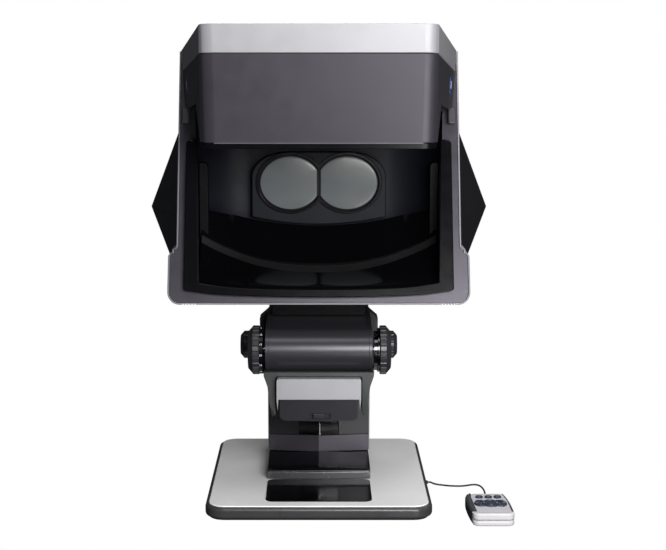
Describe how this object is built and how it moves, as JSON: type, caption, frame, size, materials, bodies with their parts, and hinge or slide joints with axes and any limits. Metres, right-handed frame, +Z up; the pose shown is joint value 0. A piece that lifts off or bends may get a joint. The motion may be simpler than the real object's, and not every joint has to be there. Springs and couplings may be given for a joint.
{
  "type": "stereo viewer",
  "caption": "Hooded stereo viewer: a mirror head with a viewing cavity over zoom optics, on a focusing column stand, with a wired handset lying beside it.",
  "frame": {"origin": "centre of the stand's underside, on the table", "axes": "+Z up; +Y away from the person who looks in; +X to their right"},
  "size_m": [0.5725, 0.5847, 0.734],
  "materials": {
    "silver_paint": "fine satin silver paint",
    "silver_cover": "fine satin silver paint on moulded plastic",
    "gunmetal_cover": "satin gunmetal paint on moulded plastic",
    "black_cover": "fine-grained black moulding",
    "black_gloss": "polished black",
    "charcoal_metal": "satin charcoal paint",
    "black_metal": "fine-grained black paint",
    "light_plate": "fine satin light grey paint",
    "light_plastic": "satin light grey moulding",
    "dark_key": "soft dark blue-grey key",
    "steel": "ground",
    "lens_glass": "coated, polished",
    "rubber": "matt"
  },
  "bodies": {
    "stand": {"base_mat": "rubber", "base_casting": "black_metal", "base_top_plate": "light_plate", "work_panel": "black_gloss", "column_plinth": "black_metal", "column_extrusion": "silver_paint", "column_top_cap": "black_metal", "column_rear_cover": "charcoal_metal", "column_foot_band": "charcoal_metal", "column_front_cover": "charcoal_metal", "column_window": "black_gloss", "guide_rail_left": "steel", "guide_rail_right": "steel", "focus_drive_bar": "steel", "cord_gland": "rubber", "handset_cord": "rubber", "handset_lower_shell": "black_cover", "handset_upper_shell": "light_plastic"},
    "head_carriage": {"focus_block": "charcoal_metal", "neck_bracket": "black_metal", "zoom_barrel": "charcoal_metal", "optics_cradle": "charcoal_metal", "optics_front_cover": "silver_cover", "optics_housing": "black_metal", "objective_barrel": "black_metal", "objective_lens": "lens_glass", "ring_light": "gunmetal_cover", "fascia_panel": "gunmetal_cover", "head_shell": "silver_cover", "tray_bezel": "black_cover", "hood_cover": "gunmetal_cover", "hood_top_cover": "silver_cover", "hood_liner": "black_cover", "cavity_shroud": "black_cover", "cavity_roof": "black_cover", "stereo_mirror": "black_gloss", "lens_block": "black_cover", "pupil_lens_left": "lens_glass", "pupil_lens_right": "lens_glass", "projector_left": "black_cover", "projector_right": "black_cover", "rear_housing_upper": "black_cover", "rear_housing_lower": "black_cover", "connector_panel": "gunmetal_cover"},
    "focus_control": {"focus_shaft": "steel", "focus_knob_left": "black_metal", "focus_knob_right": "black_metal"},
    "zoom_control": {"zoom_shaft": "steel", "zoom_dial": "black_metal", "zoom_hub": "steel", "zoom_knob_left": "black_metal", "zoom_knob_right": "black_metal"},
    "zoom_cell": {"zoom_lens_cell": "black_metal"},
    "iris": {"iris_slider": "gunmetal_cover"},
    "key_left_cap": {"key_left": "dark_key"},
    "key_middle_cap": {"key_middle": "dark_key"},
    "key_right_cap": {"key_right": "dark_key"},
    "nav_pad_cap": {"nav_pad": "dark_key"},
    "rocker_left_cap": {"rocker_left": "dark_key"},
    "rocker_right_cap": {"rocker_right": "dark_key"}
  },
  "joints": [
    {"name": "focus_slide", "type": "slide", "parent": "stand", "child": "head_carriage", "axis": [0, 0, 1], "range_m": [-0.018, 0.045]},
    {"name": "focus_knob_turn", "type": "hinge", "parent": "head_carriage", "child": "focus_control", "pos_m": [0, 0.018, 0.2265], "axis": [1, 0, 0], "range_deg": [-323, 130]},
    {"name": "zoom_knob_turn", "type": "hinge", "parent": "head_carriage", "child": "zoom_control", "pos_m": [0, -0.12, 0.2465], "axis": [1, 0, 0], "range_deg": [-105, 105]},
    {"name": "zoom_lens_slide", "type": "slide", "parent": "head_carriage", "child": "zoom_cell", "axis": [0, 0, 1], "range_m": [-0.0142, 0.0142]},
    {"name": "iris_slide", "type": "slide", "parent": "head_carriage", "child": "iris", "axis": [1, 0, 0], "range_m": [-0.008, 0.008]},
    {"name": "key_left_press", "type": "slide", "parent": "stand", "child": "key_left_cap", "axis": [0, 0, 1], "range_m": [-0.0012, 0], "stiffness_N_per_m": 400, "springref_m": 0.0008},
    {"name": "key_middle_press", "type": "slide", "parent": "stand", "child": "key_middle_cap", "axis": [0, 0, 1], "range_m": [-0.0012, 0], "stiffness_N_per_m": 400, "springref_m": 0.0008},
    {"name": "key_right_press", "type": "slide", "parent": "stand", "child": "key_right_cap", "axis": [0, 0, 1], "range_m": [-0.0012, 0], "stiffness_N_per_m": 400, "springref_m": 0.0008},
    {"name": "nav_pad_press", "type": "slide", "parent": "stand", "child": "nav_pad_cap", "axis": [0, 0, 1], "range_m": [-0.0012, 0], "stiffness_N_per_m": 400, "springref_m": 0.0008},
    {"name": "rocker_left_press", "type": "slide", "parent": "stand", "child": "rocker_left_cap", "axis": [0, 0, 1], "range_m": [-0.0012, 0], "stiffness_N_per_m": 400, "springref_m": 0.0008},
    {"name": "rocker_right_press", "type": "slide", "parent": "stand", "child": "rocker_right_cap", "axis": [0, 0, 1], "range_m": [-0.0012, 0], "stiffness_N_per_m": 400, "springref_m": 0.0008}
  ],
  "couplings": [
    {"joint": "focus_knob_turn", "follows": "focus_slide", "rad_per_m": -125},
    {"joint": "zoom_lens_slide", "follows": "zoom_knob_turn", "m_per_rad": 0.00764}
  ]
}
